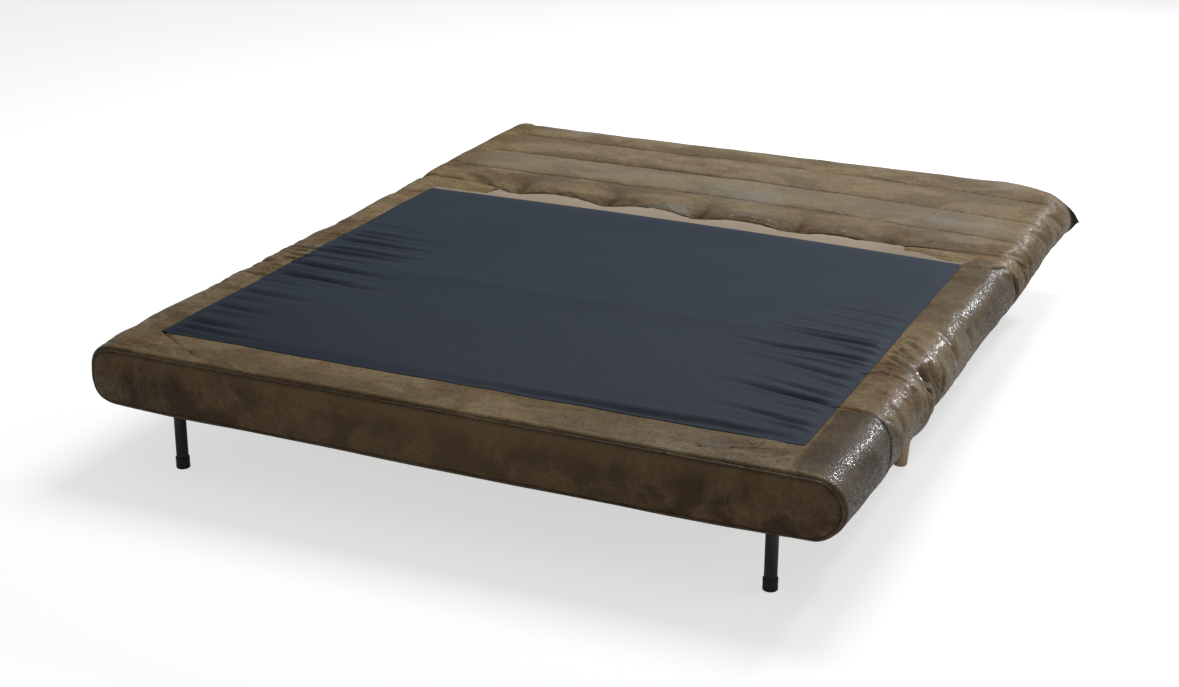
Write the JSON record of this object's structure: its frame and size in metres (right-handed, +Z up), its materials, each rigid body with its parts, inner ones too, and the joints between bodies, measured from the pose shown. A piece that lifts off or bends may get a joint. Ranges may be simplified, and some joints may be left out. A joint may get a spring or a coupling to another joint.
{
  "type": "sofa bed",
  "caption": "Low sofa bed shown flat: a front section that folds over onto the seat, folding tube legs, turned legs and a channelled, tufted back that clicks upright.",
  "frame": {"origin": "on the floor, under the middle of the bed's width and length", "axes": "+X to the right along the width, +Y from the front face to the far end of the back, +Z up"},
  "size_m": [1.6, 2, 0.2785],
  "materials": {
    "cover": "distressed leather-look cloth, brown with olive and grey rub marks, half gloss",
    "lining": "smooth tightly woven lining, blue charcoal, matt",
    "pale_cotton": "plain beige cloth, matt",
    "dust_cloth": "thin black underside cloth, matt",
    "foam": "upholstery foam",
    "frame_wood": "planed softwood, unfinished",
    "leg_wood": "turned pale hardwood, clear satin lacquer",
    "black_steel": "black powder coat, satin",
    "zinc_steel": "zinc plated",
    "rubber": "black moulded rubber"
  },
  "bodies": {
    "seat": {"seat_cover": "cover", "seat_lining": "lining", "pale_strip": "pale_cotton", "seat_dust_cloth": "dust_cloth", "seat_left_roll": "foam", "seat_right_roll": "foam", "seat_foam": "foam", "seat_left_rail": "frame_wood", "seat_right_rail": "frame_wood", "seat_front_rail": "frame_wood", "seat_rear_rail": "frame_wood", "seat_slats": "frame_wood", "front_left_leg_plate": "black_steel", "front_right_leg_plate": "black_steel", "rear_left_leg_plate": "black_steel", "rear_right_leg_plate": "black_steel", "front_left_wood_leg": "leg_wood", "front_right_wood_leg": "leg_wood", "rear_left_wood_leg": "leg_wood", "rear_right_wood_leg": "leg_wood", "fold_hinge_seat_leaf": "zinc_steel", "fold_hinge_pin": "zinc_steel", "click_hinge_seat_leaf": "zinc_steel", "click_hinge_pin": "zinc_steel"},
    "front": {"front_cover": "cover", "front_lining": "lining", "front_left_roll": "foam", "front_right_roll": "foam", "front_nose_foam": "foam", "front_top_foam": "foam", "front_seat_foam": "foam", "front_left_rail": "frame_wood", "front_right_rail": "frame_wood", "front_rear_rail": "frame_wood", "front_leg_beam": "frame_wood", "front_middle_block": "frame_wood", "front_slats": "frame_wood", "left_leg_slot": "zinc_steel", "right_leg_slot": "zinc_steel", "left_leg_pin": "zinc_steel", "right_leg_pin": "zinc_steel", "fold_hinge_front_leaf": "zinc_steel"},
    "back": {"back_cover": "cover", "back_dust_cloth": "dust_cloth", "back_foam": "foam", "back_left_edge_foam": "foam", "back_right_edge_foam": "foam", "back_near_edge_foam": "foam", "back_far_edge_foam": "foam", "back_left_rail": "frame_wood", "back_right_rail": "frame_wood", "back_near_rail": "frame_wood", "back_far_rail": "frame_wood", "back_slats": "frame_wood", "click_hinge_back_leaf": "zinc_steel"},
    "left_leg": {"left_metal_leg": "black_steel", "left_leg_foot": "rubber"},
    "right_leg": {"right_metal_leg": "black_steel", "right_leg_foot": "rubber"}
  },
  "joints": [
    {"name": "front_fold", "type": "hinge", "parent": "seat", "child": "front", "pos_m": [0, -0.345, 0.2745], "axis": [-1, 0, 0], "range_deg": [0, 180]},
    {"name": "back_recline", "type": "hinge", "parent": "seat", "child": "back", "pos_m": [0, 0.322, 0.262], "axis": [1, 0, 0], "range_deg": [0, 75]},
    {"name": "left_leg_fold", "type": "hinge", "parent": "front", "child": "left_leg", "pos_m": [-0.642, -0.927, 0.165], "axis": [0, -1, 0], "range_deg": [0, 90]},
    {"name": "right_leg_fold", "type": "hinge", "parent": "front", "child": "right_leg", "pos_m": [0.642, -0.927, 0.165], "axis": [0, 1, 0], "range_deg": [0, 90]}
  ]
}
